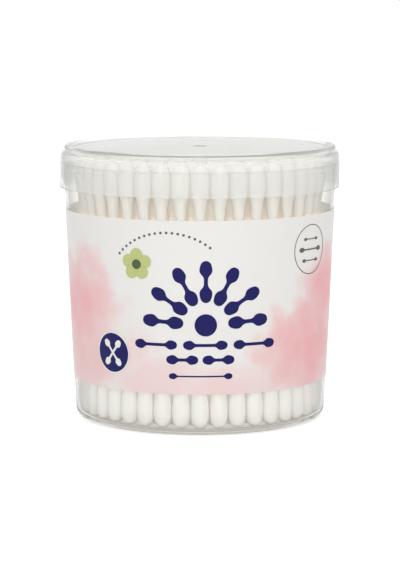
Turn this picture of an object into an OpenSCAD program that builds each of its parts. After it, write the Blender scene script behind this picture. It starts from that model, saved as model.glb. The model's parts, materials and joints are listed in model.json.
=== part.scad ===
// Round cotton swab tub: a drafted tub, its push-on lid, a wrap-round label and rings of standing swabs.
// The origin is the centre of the base on the surface it stands on, +Z is up and the front faces -Y.

/* [Tub] */
// Outer diameter that the wall would reach at the base with no corner radius
base_diameter = 71.5; // [66:0.1:90]
// Angle at which the wall leans out from upright
draft_angle = 2.5; // [1:0.1:4]
// Thickness of the wall, measured level
tub_wall = 0.8; // [0.6:0.05:1.2]
// Thickness of the floor
floor_thickness = 0.8; // [0.6:0.05:1.5]
// Outer radius of the corner between wall and base
corner_radius = 2.8; // [1.6:0.1:4]
// Height of the ring that the tub stands on, below the floor
foot_height = 0.5; // [0.3:0.05:1.2]
// Width of the flat under that ring
foot_width = 2.6; // [1.5:0.1:5]
// Height of the bead round the rim
rim_bead_height = 1.05; // [0.7:0.05:2]
// How far the bead stands out of the wall
rim_bead = 0.1; // [0.05:0.01:0.3]
// Diameter of the moulding mark in the middle of the base
base_gate_diameter = 3; // [2:0.1:5]

/* [Lid] */
// Running gap between the rim bead and the inside of the skirt
lid_clearance = 0.2; // [0.15:0.01:0.4]
// Thickness of the skirt
skirt_wall = 0.75; // [0.6:0.05:1.2]
// How far the skirt reaches down below the rim of the tub
skirt_drop = 6.5; // [4:0.1:9]
// Gap left between the snap bead inside the skirt and the rim bead that it passes
snap_clearance = 0.1; // [0.05:0.01:0.12]
// Height from the rim of the tub to the foot of the shoulder
shoulder_foot = 0.8; // [0.3:0.1:2]
// Height of the rounded shoulder
shoulder_height = 2.85; // [2:0.05:5]
// How far the shoulder draws in
shoulder_width = 1.2; // [0.6:0.05:2]
// Height of the raised rim above the shoulder
lid_rim_height = 1.65; // [1.2:0.05:3]
// Width of the raised rim
lid_rim_width = 2.3; // [1.8:0.1:4]
// Outer edge radius of the raised rim
lid_rim_round = 0.7; // [0.3:0.05:0.9]
// How deep the panel lies below the top of the raised rim
panel_recess = 0.6; // [0.3:0.05:1.4]
// Thickness of the panel
panel_thickness = 0.8; // [0.6:0.05:1.5]
// Width of the ledge inside the lid that sits on the rim of the tub
seat_width = 0.9; // [0.5:0.05:1.2]
// Angle that the lift lip takes on the left side
lip_angle = 78; // [30:1:120]
// How far the lip flares out at its foot
lip_flare = 0.25; // [0.1:0.01:0.6]
// Diameter of the moulding dimple in the middle of the panel
gate_diameter = 4; // [2:0.1:8]
// Depth of the moulding dimple
gate_depth = 0.25; // [0.1:0.01:0.4]
// Diameter of the moulding mark that stands in the dimple
gate_mark = 1.3; // [0.6:0.1:1.8]

/* [Label] */
// Height of the label's lower edge above the surface the tub stands on
label_foot = 11.85; // [8:0.05:20]
// Height of bare wall between the label's upper edge and the lid
label_top_margin = 6.15; // [1:0.05:12]
// Thickness of the label film
label_thickness = 0.12; // [0.08:0.01:0.3]
// Gap between the wall and the label
label_gap = 0.02; // [0.01:0.01:0.1]
// Width of the overlap at the back, where the label's end lies on its start
label_overlap = 6; // [3:0.5:15]

/* [Swabs] */
// Length of a swab from cotton end to cotton end
swab_length = 73.6; // [60:0.1:90]
// How far the swabs stand above the rim of the tub
swab_proud = 2.4; // [0:0.1:2.6]
// Diameter of the stick
stick_diameter = 2.4; // [1.8:0.05:2.6]
// How deep the cotton covers the stick's end
stick_inset = 2; // [1:0.1:3]
// Greatest diameter of a cotton tip
tip_diameter = 4.85; // [4:0.05:5.3]
// Distance from a tip's end to its widest place
tip_widest = 4.6; // [3:0.1:6]
// Radius of a tip's round end, as a share of the tip's greatest radius
tip_bluntness = 0.85; // [0.6:0.05:0.9]
// Length of stick that the cotton covers, with the tip's end
tip_length = 15.5; // [12:0.1:20]
// Thickness of the cotton where it ends on the stick
tail_thickness = 0.2; // [0.1:0.05:0.5]
// Fit between the stick and the cotton round it
stick_fit = 0.02; // [0.01:0.01:0.05]
// Least gap between the tips of neighbours in one ring
neighbour_gap = 0.35; // [0.1:0.05:1]
// Gap between the tips of one ring and the next
ring_gap = 0.03; // [0.02:0.01:0.3]
// Gap between the outer tips' feet and the wall
wall_gap = 0.4; // [0.2:0.05:0.8]
// Gap between the feet and the floor
floor_gap = 0.1; // [0.05:0.05:0.3]
// Lean of the outer ring, as a share of the lean of the wall
lean_share = 0.34; // [0:0.02:0.8]

/* [Hidden] */
$fn = 96;

// Small edges shared by the mouldings
edge_break = 0.15;
// Overlap of two bodies of material that are joined into one
weld = 0.3;
// Steps in the rounded corners of the profiles
arc_steps = 8;
// Turn from each ring to the next, so that no gaps line up
ring_turn = 137.5;

// Tub, as high as the swabs that stand on its floor need
floor_top = foot_height + floor_thickness;
swab_foot = floor_top + floor_gap;
tub_height = swab_foot + swab_length - swab_proud;
mouth_radius = wall_outside(tub_height);
inner_corner = max(corner_radius - tub_wall, 0.5);
corner_centre = corner_place(wall_outside(corner_radius), corner_radius);
inner_centre = corner_place(wall_inside(floor_top + inner_corner), inner_corner);
foot_inner = corner_centre - foot_width;
bead_radius = mouth_radius + rim_bead;
bead_foot = tub_height - rim_bead_height;

// Lid, stacked up from the rim that it sits on
skirt_inner = bead_radius + lid_clearance;
lid_radius = skirt_inner + skirt_wall;
skirt_foot = tub_height - skirt_drop;
shoulder_z = tub_height + shoulder_foot;
rim_foot = shoulder_z + shoulder_height;
lid_rim_outer = lid_radius - shoulder_width;
lid_rim_inner = lid_rim_outer - lid_rim_width;
inner_round = min(lid_rim_round, panel_recess) / 2;
lid_top = rim_foot + lid_rim_height;
panel_top = lid_top - panel_recess;
panel_under = panel_top - panel_thickness;
seat_inner = bead_radius - seat_width;
snap_bead = lid_clearance - snap_clearance;
snap_z = bead_foot - edge_break - 2 * snap_bead;

// Label, between its lower edge and the lid
label_top = skirt_foot - label_top_margin;

// Swabs, from the tub that holds them
tip_radius = tip_diameter / 2;
tail_radius = stick_diameter / 2 + stick_fit + tail_thickness;
bore_radius = stick_diameter / 2 + stick_fit;
ring_step = tip_diameter + ring_gap;
outer_ring = wall_inside(swab_foot + tip_widest) - wall_gap - tip_radius;

// Outline of a tip: a round end, a side that is upright at the widest place, and an S of two arcs
cap_radius = tip_bluntness * tip_radius;
side_radius = (pow(tip_radius, 2) + pow(tip_widest - cap_radius, 2) - pow(cap_radius, 2))
    / (tip_radius - cap_radius) / 2;
cap_top = cap_radius - cap_radius * (tip_widest - cap_radius) / (side_radius - cap_radius);
taper_middle = (tip_widest + tip_length) / 2;
taper_radius = (pow(tip_radius - tail_radius, 2) + pow(tip_length - tip_widest, 2))
    / (tip_radius - tail_radius) / 4;

// Radius of the wall at a height, outside and inside
function wall_outside(z) = base_diameter / 2 + z * tan(draft_angle);
function wall_inside(z) = wall_outside(z) - tub_wall;

// Points of an arc from one angle to another
function arc(centre, radius, from, to, steps = arc_steps) = [
    for (i = [0:steps])
        let (a = from + (to - from) * i / steps)
            [centre[0] + radius * cos(a), centre[1] + radius * sin(a)]
];

// Centre distance of a corner of this radius that meets the drafted wall smoothly
function corner_place(wall_at, radius) = wall_at - radius / cos(draft_angle);

// Foot radius, number of swabs and outward lean of a ring, counted from the wall
function ring_radius(ring) = outer_ring - (ring - 1) * ring_step;
function ring_count(ring) =
    let (half_pitch = (tip_diameter + neighbour_gap) / 2)
        ring_radius(ring) < half_pitch ? 1 : floor(180 / asin(half_pitch / ring_radius(ring)));
function ring_place(ring) = ring_count(ring) == 1 ? 0 : ring_radius(ring);
function ring_lean(ring) = lean_share * draft_angle * ring_place(ring) / outer_ring;

// Half section of the tub, closed on its axis
function tub_section() = concat(
    [
        [0, floor_top],
        [0, foot_height],
        [foot_inner - foot_height, foot_height],
        [foot_inner, 0]
    ],
    arc([corner_centre, corner_radius], corner_radius, -90, -draft_angle),
    [
        [wall_outside(bead_foot - rim_bead), bead_foot - rim_bead],
        [bead_radius, bead_foot],
        [bead_radius, tub_height - edge_break],
        [bead_radius - edge_break, tub_height],
        [mouth_radius - tub_wall + edge_break, tub_height],
        [mouth_radius - tub_wall, tub_height - edge_break]
    ],
    arc([inner_centre, floor_top + inner_corner], inner_corner, -draft_angle, -90)
);

module tub() {
    color([0.93, 0.94, 0.94, 0.45]) {
        rotate_extrude()
            polygon(tub_section());
        // Moulding mark in the hollow of the base
        translate([0, 0, foot_height / 2])
            cylinder(h = foot_height / 2 + floor_thickness / 2, d = base_gate_diameter);
    }
}

// Half section of the lid: outside from the foot to the panel, then inside back to the foot
function lid_section() = concat(
    [
        [skirt_inner + edge_break, skirt_foot],
        [lid_radius - edge_break, skirt_foot],
        [lid_radius, skirt_foot + edge_break]
    ],
    shoulder(lid_rim_outer, shoulder_z, shoulder_width, shoulder_height, 0, 90),
    arc([lid_rim_outer - lid_rim_round, lid_top - lid_rim_round], lid_rim_round, 0, 90),
    arc([lid_rim_inner + inner_round, lid_top - inner_round], inner_round, 90, 180, arc_steps / 2),
    [
        [lid_rim_inner, panel_top],
        [0, panel_top],
        [0, panel_under],
        [lid_rim_inner, panel_under],
        [lid_rim_inner + panel_thickness, lid_top - panel_thickness],
        [lid_rim_outer - panel_thickness, lid_top - panel_thickness]
    ],
    shoulder(
        lid_rim_outer - panel_thickness, shoulder_z,
        seat_inner - lid_rim_outer + panel_thickness, shoulder_height - panel_thickness, 90, 0
    ),
    [
        [seat_inner, tub_height],
        [skirt_inner, tub_height],
        [skirt_inner, snap_z + snap_bead],
        [skirt_inner - snap_bead, snap_z],
        [skirt_inner, snap_z - 2 * snap_bead],
        [skirt_inner, skirt_foot + edge_break]
    ]
);

// Quarter of an ellipse that the shoulder follows, from its foot at 0 degrees to its top at 90
function shoulder(inside, foot, width, height, from, to) = [
    for (i = [0:arc_steps])
        let (a = from + (to - from) * i / arc_steps)
            [inside + width * cos(a), foot + height * sin(a)]
];

module lid() {
    color([0.94, 0.95, 0.95, 0.5]) {
        difference() {
            union() {
                rotate_extrude()
                    polygon(lid_section());
                lift_lip();
            }
            gate_dimple();
        }
    }
}

// Flared stretch of the skirt, under the thumb that lifts the lid
module lift_lip() {
    rotate([0, 0, 180 - lip_angle / 2])
        rotate_extrude(angle = lip_angle)
            polygon([
                [lid_radius - weld, skirt_foot + edge_break],
                [lid_radius + lip_flare, skirt_foot + edge_break],
                [lid_radius + lip_flare, skirt_foot + 2 * edge_break],
                [lid_radius, bead_foot],
                [lid_radius - weld, bead_foot]
            ]);
}

// Ring-shaped dimple round the moulding mark, which stays level with the panel
module gate_dimple() {
    translate([0, 0, panel_top - gate_depth])
        difference() {
            cylinder(h = 2 * gate_depth, d = gate_diameter);
            cylinder(h = gate_depth, d = gate_mark);
        }
}

// Section of a band of label film that lies on the drafted wall at a distance
function film_section(distance) = [
    [wall_outside(label_foot) + distance, label_foot],
    [wall_outside(label_foot) + distance + label_thickness, label_foot],
    [wall_outside(label_top) + distance + label_thickness, label_top],
    [wall_outside(label_top) + distance, label_top]
];

module label() {
    overlap_angle = label_overlap / wall_outside((label_foot + label_top) / 2) * 180 / PI;
    color([0.95, 0.90, 0.89]) {
        rotate_extrude()
            polygon(film_section(label_gap));
        // Second layer where the label's end lies on its start, at the back
        rotate([0, 0, 90 - overlap_angle / 2])
            rotate_extrude(angle = overlap_angle)
                polygon(film_section(label_gap + label_thickness));
    }
}

// Children stand as swabs round one ring, foot down, each leaning out with the ring
module round_ring(ring) {
    count = ring_count(ring);
    for (i = [0:count - 1])
        rotate([0, 0, -90 + ring_turn * (ring - 1) + 360 * i / count])
            translate([ring_place(ring), 0, swab_foot])
                rotate([0, ring_lean(ring), 0])
                    children();
}

// Half section of a cotton tip, with its end at the origin, its tail up the stick and the stick's bore
module tip_section() {
    difference() {
        union() {
            tip_end();
            tip_taper();
        }
        translate([0, stick_inset - stick_fit])
            square([bore_radius, tip_length]);
        // Hollow arc that thins the cotton out onto the stick
        translate([tail_radius + taper_radius, tip_length])
            circle(taper_radius);
    }
}

// Round end and bulging side, up to the widest place
module tip_end() {
    intersection() {
        translate([tip_radius - side_radius, tip_widest])
            circle(side_radius);
        union() {
            translate([0, cap_radius])
                circle(cap_radius);
            translate([0, cap_top])
                square([tip_radius, tip_widest - cap_top]);
        }
        square([tip_radius, tip_widest]);
    }
}

// Bulging half of the taper, with the stock that the hollow half is cut from
module tip_taper() {
    intersection() {
        translate([tip_radius - taper_radius, tip_widest])
            circle(taper_radius);
        translate([0, tip_widest])
            square([tip_radius, taper_middle - tip_widest]);
    }
    translate([0, taper_middle])
        square([(tip_radius + tail_radius) / 2, tip_length - taper_middle]);
}

module cotton_tip() {
    rotate_extrude()
        tip_section();
}

module sticks_ring(ring) {
    color([0.93, 0.89, 0.83])
        round_ring(ring)
            translate([0, 0, stick_inset])
                cylinder(h = swab_length - 2 * stick_inset, d = stick_diameter);
}

module foot_tips_ring(ring) {
    color([0.96, 0.95, 0.92])
        round_ring(ring)
            cotton_tip();
}

module top_tips_ring(ring) {
    color([0.96, 0.95, 0.92])
        round_ring(ring)
            translate([0, 0, swab_length])
                rotate([180, 0, 0])
                    cotton_tip();
}

tub();
lid();
label();
sticks_ring(1);  // sticks_ring_1
sticks_ring(2);  // sticks_ring_2
sticks_ring(3);  // sticks_ring_3
sticks_ring(4);  // sticks_ring_4
sticks_ring(5);  // sticks_ring_5
sticks_ring(6);  // sticks_ring_6
sticks_ring(7);  // sticks_ring_7
top_tips_ring(1);  // top_tips_ring_1
top_tips_ring(2);  // top_tips_ring_2
top_tips_ring(3);  // top_tips_ring_3
top_tips_ring(4);  // top_tips_ring_4
top_tips_ring(5);  // top_tips_ring_5
top_tips_ring(6);  // top_tips_ring_6
top_tips_ring(7);  // top_tips_ring_7
foot_tips_ring(1);  // foot_tips_ring_1
foot_tips_ring(2);  // foot_tips_ring_2
foot_tips_ring(3);  // foot_tips_ring_3
foot_tips_ring(4);  // foot_tips_ring_4
foot_tips_ring(5);  // foot_tips_ring_5
foot_tips_ring(6);  // foot_tips_ring_6
foot_tips_ring(7);  // foot_tips_ring_7
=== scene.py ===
"""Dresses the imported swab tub: clear mouldings, a printed film label, and cotton swabs on paper sticks.

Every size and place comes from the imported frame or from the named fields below. Lengths are in metres, angles
in degrees. Angles round the tub count from the front, towards the right of someone who faces it.
"""

from __future__ import annotations

import json
import logging
import math
import random
from dataclasses import asdict, dataclass, fields
from enum import Enum
from itertools import pairwise

import bmesh
import bpy
from mathutils import Matrix, Vector

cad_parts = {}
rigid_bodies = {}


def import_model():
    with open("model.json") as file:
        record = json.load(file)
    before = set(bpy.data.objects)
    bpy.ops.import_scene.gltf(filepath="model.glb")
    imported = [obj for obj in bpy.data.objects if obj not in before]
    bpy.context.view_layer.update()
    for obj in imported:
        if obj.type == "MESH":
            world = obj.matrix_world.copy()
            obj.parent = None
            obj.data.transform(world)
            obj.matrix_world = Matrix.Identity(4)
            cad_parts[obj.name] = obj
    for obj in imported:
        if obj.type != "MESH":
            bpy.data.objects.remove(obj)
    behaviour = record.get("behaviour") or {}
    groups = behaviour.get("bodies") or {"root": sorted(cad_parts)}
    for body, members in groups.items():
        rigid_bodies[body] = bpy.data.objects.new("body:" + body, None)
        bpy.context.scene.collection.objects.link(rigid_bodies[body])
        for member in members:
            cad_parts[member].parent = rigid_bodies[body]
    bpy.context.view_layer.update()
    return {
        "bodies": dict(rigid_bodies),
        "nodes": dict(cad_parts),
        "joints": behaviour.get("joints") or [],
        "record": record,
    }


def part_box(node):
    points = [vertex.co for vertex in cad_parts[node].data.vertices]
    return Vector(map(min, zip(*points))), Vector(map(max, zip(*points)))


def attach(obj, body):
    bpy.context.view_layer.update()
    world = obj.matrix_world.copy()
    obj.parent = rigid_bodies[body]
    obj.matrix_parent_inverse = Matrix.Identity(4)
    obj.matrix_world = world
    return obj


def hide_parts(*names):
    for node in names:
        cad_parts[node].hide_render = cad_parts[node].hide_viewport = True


LOG = logging.getLogger("swab_tub")
MM = 0.001
TAU = 2 * math.pi
MERGE = 0.001 * MM

Point = tuple[float, float]
Place = tuple[float, float, float]
Colour = tuple[float, float, float]
Piece = bpy.types.Object
Socket = bpy.types.NodeSocket
Material = bpy.types.Material

BLACK: Colour = (0, 0, 0)
WHITE: Colour = (1, 1, 1)


# Shapes that several pieces share


def on_circle(centre: Point, radius: float, angle: float) -> Point:
    """Point of a circle at an angle."""
    turned = math.radians(angle)
    return centre[0] + radius * math.cos(turned), centre[1] + radius * math.sin(turned)


def arc(centre: Point, radius: float, start: float, end: float, steps: int) -> list[Point]:
    """Points of an arc.

    Args:
        centre: Middle of the arc's circle, as distance from the axis and height.
        radius: Radius of the circle.
        start: Angle of the first point.
        end: Angle of the last point.
        steps: How many steps the arc takes.

    Returns:
        One more point than there are steps.
    """
    return [on_circle(centre, radius, start + (end - start) * i / steps) for i in range(steps + 1)]


def edit_all() -> None:
    """Goes into edit mode and selects all of the active piece."""
    bpy.ops.object.mode_set(mode="EDIT")
    bpy.ops.mesh.select_all(action="SELECT")


def extrude(across: float = 0, up: float = 0) -> None:
    """Extrudes what is selected in edit mode, in place or by a step across and up."""
    bpy.ops.mesh.extrude_region_move(TRANSFORM_OT_translate={"value": (across, 0, up)})


def draw_line(name: str, outline: list[Point]) -> Piece:
    """Draws a line in the XZ plane by extruding a point along an outline.

    Args:
        name: Name of the new piece.
        outline: Place across and height of each point.

    Returns:
        The new piece, in edit mode and selected all over.
    """
    bpy.ops.object.select_all(action="DESELECT")
    bpy.ops.mesh.primitive_plane_add(size=MM)
    piece = bpy.context.object
    piece.name = name
    piece.data.name = name
    edit_all()
    bpy.ops.mesh.merge(type="CENTER")
    bpy.ops.transform.translate(value=(outline[0][0], 0, outline[0][1]))
    for here, there in pairwise(outline):
        extrude(there[0] - here[0], there[1] - here[1])
    bpy.ops.mesh.select_all(action="SELECT")
    return piece


def close_and_leave(crease: float) -> None:
    """Merges doubles, turns the faces outwards, leaves edit mode and smooths all but the creases.

    Args:
        crease: Angle between two faces above which their edge stays sharp.
    """
    bpy.ops.mesh.select_all(action="SELECT")
    bpy.ops.mesh.remove_doubles(threshold=MERGE)
    bpy.ops.mesh.normals_make_consistent(inside=False)
    bpy.ops.object.mode_set(mode="OBJECT")
    bpy.ops.object.shade_smooth_by_angle(angle=math.radians(crease))


def turn(name: str, outline: list[Point], steps: int, crease: float) -> Piece:
    """Draws a half section and spins it about the tub's axis.

    Args:
        name: Name of the new piece.
        outline: Half section as distances from the axis and heights.
        steps: How many steps make the full turn.
        crease: Angle above which an edge stays sharp.

    Returns:
        The turned piece, in object mode.
    """
    piece = draw_line(name, outline)
    bpy.ops.mesh.spin(steps=steps, angle=TAU, center=(0, 0, 0), axis=(0, 0, 1))
    close_and_leave(crease)
    return piece


def copy_to(piece: Piece, place: Matrix) -> Piece:
    """Copies a piece with a mesh of its own.

    Args:
        piece: The piece to copy.
        place: How the copy's mesh is turned, sized and moved.

    Returns:
        The copy, with its object at the origin.
    """
    copy = piece.copy()
    copy.data = piece.data.copy()
    bpy.context.scene.collection.objects.link(copy)
    copy.data.transform(place)
    return copy


def join(name: str, pieces: list[Piece]) -> Piece:
    """Joins pieces into one.

    Args:
        name: Name of the joined piece.
        pieces: The pieces to join, at least one.

    Returns:
        The joined piece.
    """
    bpy.ops.object.select_all(action="DESELECT")
    for piece in pieces:
        piece.select_set(True)
    bpy.context.view_layer.objects.active = pieces[0]
    if len(pieces) > 1:
        bpy.ops.object.join()
    joined = bpy.context.view_layer.objects.active
    joined.name = name
    joined.data.name = name
    return joined


def dress(piece: Piece, material: Material) -> None:
    """Gives the whole piece one material."""
    piece.data.materials.clear()
    piece.data.materials.append(material)


def report(piece: Piece) -> None:
    """Logs a finished piece and its number of triangles."""
    piece.data.calc_loop_triangles()
    LOG.info("%s: %d triangles", piece.name, len(piece.data.loop_triangles))


def shade(colour: Colour, share: float) -> Colour:
    """A darker shade of a colour, as a share of its light."""
    red, green, blue = colour
    return share * red, share * green, share * blue


# Node trees


class Tree:
    """A node tree with short calls to add nodes and join them."""

    NOISE_SPAN: Point = (0.3, 0.7)

    def __init__(self, tree: bpy.types.NodeTree) -> None:
        """Takes the node tree that the calls work on."""
        self.tree = tree

    def add(self, kind: str, **settings: object) -> bpy.types.Node:
        """Adds a node and sets its own settings.

        Args:
            kind: The node's type, such as ShaderNodeMath.
            **settings: Values of the node's properties.

        Returns:
            The new node.
        """
        node = self.tree.nodes.new(kind)
        for name, value in settings.items():
            setattr(node, name, value)
        return node

    def feed(self, socket: Socket, value: object) -> None:
        """Joins a socket to another socket, or sets its own value.

        Args:
            socket: The socket to feed.
            value: Another socket, a number, a vector or a colour.
        """
        if isinstance(value, Socket):
            self.tree.links.new(value, socket)
        elif socket.type == "RGBA":
            socket.default_value = (*value, 1)
        else:
            socket.default_value = value

    def fill(self, node: bpy.types.Node, values: dict[str, object]) -> bpy.types.bpy_prop_collection:
        """Feeds a node's inputs by their names.

        Args:
            node: The node.
            values: For each input's name, what feeds it.

        Returns:
            The node's outputs.
        """
        for name, value in values.items():
            self.feed(node.inputs[name], value)
        return node.outputs

    def maths(self, operation: str, *values: object, clamp: bool = False) -> Socket:
        """Adds a Math node.

        Args:
            operation: What the node does, such as MULTIPLY.
            *values: Its inputs in order, as sockets or numbers.
            clamp: Whether the result stays between 0 and 1.

        Returns:
            The node's output socket.
        """
        node = self.add("ShaderNodeMath", operation=operation, use_clamp=clamp)
        for socket, value in zip(node.inputs, values):
            self.feed(socket, value)
        return node.outputs[0]

    def times(self, first: object, second: object) -> Socket:
        """Multiplies two values."""
        return self.maths("MULTIPLY", first, second)

    def hypot(self, x: Socket, y: Socket) -> Socket:
        """Length of a flat vector, from its two parts."""
        return self.maths("SQRT", self.maths("ADD", self.times(x, x), self.times(y, y)))

    def ramp(self, value: object, low: float, high: float, to_low: float = 0, to_high: float = 1) -> Socket:
        """Maps a value smoothly from one range to another.

        Args:
            value: The socket to map.
            low: Value where the ramp starts.
            high: Value where the ramp ends.
            to_low: Result at the start.
            to_high: Result at the end.

        Returns:
            The mapped value.
        """
        node = self.add("ShaderNodeMapRange", interpolation_type="SMOOTHSTEP")
        ends = {"From Min": low, "From Max": high, "To Min": to_low, "To Max": to_high}
        return self.fill(node, {"Value": value, **ends})[0]

    def vary(self, noise: Socket, least: float, most: float) -> Socket:
        """Maps a noise onto a range, over the span that nearly all of the noise lies in."""
        return self.ramp(noise, *self.NOISE_SPAN, least, most)

    def mix(self, factor: object, first: object, second: object) -> Socket:
        """Mixes two colours.

        Args:
            factor: Share of the second colour.
            first: Colour or socket at 0.
            second: Colour or socket at 1.

        Returns:
            The mixed colour.
        """
        node = self.add("ShaderNodeMix", data_type="RGBA")
        for index, value in ((0, factor), (6, first), (7, second)):
            self.feed(node.inputs[index], value)
        return node.outputs[2]

    def noise(self, vector: Socket, scale: object, detail: float, rough: float = 0.5) -> Socket:
        """Adds a noise texture.

        Args:
            vector: Where the noise is read.
            scale: How fine it is.
            detail: How many finer layers it has.
            rough: How strong those layers are.

        Returns:
            The noise, about 0.5 on average.
        """
        values = {"Vector": vector, "Scale": scale, "Detail": detail, "Roughness": rough}
        return self.fill(self.add("ShaderNodeTexNoise"), values)["Fac"]

    def place(self) -> Socket:
        """Returns the place on the piece, in the row's own metres."""
        return self.add("ShaderNodeTexCoord").outputs["Object"]

    def split(self, vector: Socket) -> tuple[Socket, Socket, Socket]:
        """Splits a vector into its three parts."""
        parts = self.fill(self.add("ShaderNodeSeparateXYZ"), {"Vector": vector})
        return parts[0], parts[1], parts[2]


class Surface(Tree):
    """The nodes of one material, round its Principled shader."""

    def __init__(self, name: str) -> None:
        """Makes a material with its Principled shader.

        Args:
            name: Name of the material.
        """
        self.material = bpy.data.materials.new(name)
        self.material.use_nodes = True
        super().__init__(self.material.node_tree)
        self.shader = self.tree.nodes["Principled BSDF"]

    def finish(self, values: dict[str, object]) -> Material:
        """Feeds the shader's inputs by their names and returns the material."""
        self.fill(self.shader, values)
        return self.material

    def bump(self, strength: float, distance: float, height: Socket) -> Socket:
        """Returns a normal that follows a height, by a Bump node."""
        values = {"Strength": strength, "Distance": distance, "Height": height}
        return self.fill(self.add("ShaderNodeBump"), values)[0]


class Group(Tree):
    """A shader node group with named inputs and outputs, built once and placed in materials."""

    def __init__(self, name: str, inputs: tuple[str, ...], outputs: tuple[str, ...]) -> None:
        """Makes the group's sockets, all plain numbers.

        Args:
            name: Name of the group.
            inputs: Names of its inputs.
            outputs: Names of its outputs.
        """
        super().__init__(bpy.data.node_groups.new(name, "ShaderNodeTree"))
        for side, titles in (("INPUT", inputs), ("OUTPUT", outputs)):
            for title in titles:
                self.tree.interface.new_socket(title, in_out=side, socket_type="NodeSocketFloat")
        self.given = self.add("NodeGroupInput").outputs
        self.wanted = self.add("NodeGroupOutput").inputs

    def use(self, tree: Tree, **values: object) -> bpy.types.bpy_prop_collection:
        """Places the group in a material.

        Args:
            tree: The material's nodes.
            **values: Values or sockets for the group's inputs.

        Returns:
            The outputs of the placed group.
        """
        return tree.fill(tree.add("ShaderNodeGroup", node_tree=self.tree), values)


class MouldSkin(Group):
    """Surface of a thin moulding: long soft flow waves and a fine satin grain."""

    def __init__(self) -> None:
        """Builds the group from two noises on the piece's own place."""
        super().__init__("mould_skin", ("wave_scale", "grain_scale", "wave_share"), ("height", "patch"))
        place = self.place()
        share = self.given["wave_share"]
        wave = self.noise(place, self.given["wave_scale"], 1)
        grain = self.noise(place, self.given["grain_scale"], 2)
        rest = self.times(grain, self.maths("SUBTRACT", 1, share))
        self.feed(self.wanted["height"], self.maths("MULTIPLY_ADD", wave, share, rest))
        self.feed(self.wanted["patch"], wave)


class WoundFibre(Group):
    """Fibres wound round a swab, from the piece's own UV map: u runs round it and v along it."""

    TUFT_SCALE = 700
    TUFT_HEIGHT = 0.8

    def __init__(self) -> None:
        """Builds the group from a stretched noise for the strands and a soft one for the tufts."""
        super().__init__("wound_fibre", ("round_scale", "along_scale", "slant"), ("height", "tone"))
        across, along, _ = self.split(self.add("ShaderNodeUVMap", uv_map="round_and_along").outputs[0])
        stretched = {
            "X": self.times(across, self.given["round_scale"]),
            "Y": self.maths(
                "MULTIPLY_ADD", across, self.given["slant"], self.times(along, self.given["along_scale"])
            ),
        }
        strand = self.noise(self.fill(self.add("ShaderNodeCombineXYZ"), stretched)[0], 1, 3, 0.6)
        tuft = self.noise(self.place(), self.TUFT_SCALE, 3)
        self.feed(self.wanted["height"], self.maths("MULTIPLY_ADD", tuft, self.TUFT_HEIGHT, strand))
        self.feed(self.wanted["tone"], self.maths("MULTIPLY_ADD", strand, 0.5, self.times(tuft, 0.5)))


# Finishes


@dataclass(frozen=True)
class ClearMoulding:
    """Natural polypropylene, slightly milky, with moulded gloss and satin on the stacking rim, painted shade up
    the foot and at the bottom, partly painted shade edge-on, and a painted glow under the floor.
    """

    name: str
    colour: Colour = (0.97, 0.975, 0.96)
    # Darker where the wall is seen edge-on: partly the longer path through the plastic, partly painted edge
    # shade.
    edge_shade_colour: Colour = (0.44, 0.44, 0.43)
    edge_from: float = 0.44
    # Painted shade: the foot of the tub is tinted darker, and a darker painted shadow lies in a thin band at
    # its very bottom.
    painted_foot_shade: Colour = (0.87, 0.85, 0.81)
    foot_height: float = 3.6 * MM
    painted_bottom_shadow: Colour = (0.6, 0.59, 0.57)
    bottom_shadow_height: float = 0.75 * MM
    # Painted light: a glow in a thin band on the underside of the tub's floor.
    underside: float = 0.5 * MM
    underside_band: float = 0.1 * MM
    underside_glow: Colour = (0.165, 0.161, 0.152)
    clear: float = 0.92
    roughness: float = 0.05
    satin_roughness: float = 0.13
    satin_above: Point = (75.8 * MM, 76.1 * MM)
    satin_beyond: Point = (35.5 * MM, 36 * MM)
    patches: Point = (0.85, 1.15)
    wave_scale: float = 70
    wave_share: float = 0.75
    wave_height: float = 0.003 * MM
    grain_scale: float = 2400
    shadow: float = 0.04
    ior: float = 1.08
    gloss: float = 0.1

    def material(self, skin: MouldSkin) -> Material:
        """Makes the material.

        Args:
            skin: The group that gives the surface its waves and grain.

        Returns:
            The finished material, which lets nearly all lamp light through to what is inside.
        """
        s = Surface(self.name)
        relief = skin.use(
            s, wave_scale=self.wave_scale, grain_scale=self.grain_scale, wave_share=self.wave_share
        )
        x, y, z = s.split(s.place())
        # Painted shade up the foot and a darker painted shadow at the very bottom of the tub.
        foot = s.ramp(z, self.foot_height, self.foot_height / 4)
        ring = s.ramp(z, self.bottom_shadow_height, self.bottom_shadow_height / 2)
        # Partly painted edge shade: the wall greys where it is seen edge-on.
        grazing = s.ramp(s.add("ShaderNodeLayerWeight").outputs["Facing"], self.edge_from, 1)
        wall = s.mix(grazing, self.colour, self.edge_shade_colour)
        low = s.mix(ring, self.painted_foot_shade, self.painted_bottom_shadow)
        # Painted glow on the underside of the floor.
        off_floor = s.maths("ABSOLUTE", s.maths("SUBTRACT", z, self.underside))
        under = s.ramp(off_floor, self.underside_band, self.underside_band / 2)
        satin = s.times(s.ramp(z, *self.satin_above), s.ramp(s.hypot(x, y), *self.satin_beyond))
        even = s.ramp(satin, 0, 1, self.roughness, self.satin_roughness)
        shaded = s.add("ShaderNodeLightPath").outputs["Is Shadow Ray"]
        return s.finish({
            "Base Color": s.mix(foot, wall, low),
            "Emission Color": s.mix(under, BLACK, self.underside_glow),
            "Emission Strength": 1,
            "IOR": self.ior,
            "Transmission Weight": self.clear,
            "Coat Weight": self.gloss,
            "Coat Roughness": self.roughness,
            "Roughness": s.times(even, s.vary(relief["patch"], *self.patches)),
            "Alpha": s.maths("MULTIPLY_ADD", shaded, self.shadow - 1, 1),
            "Normal": s.bump(0.2, self.wave_height, relief["height"]),
        })


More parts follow.
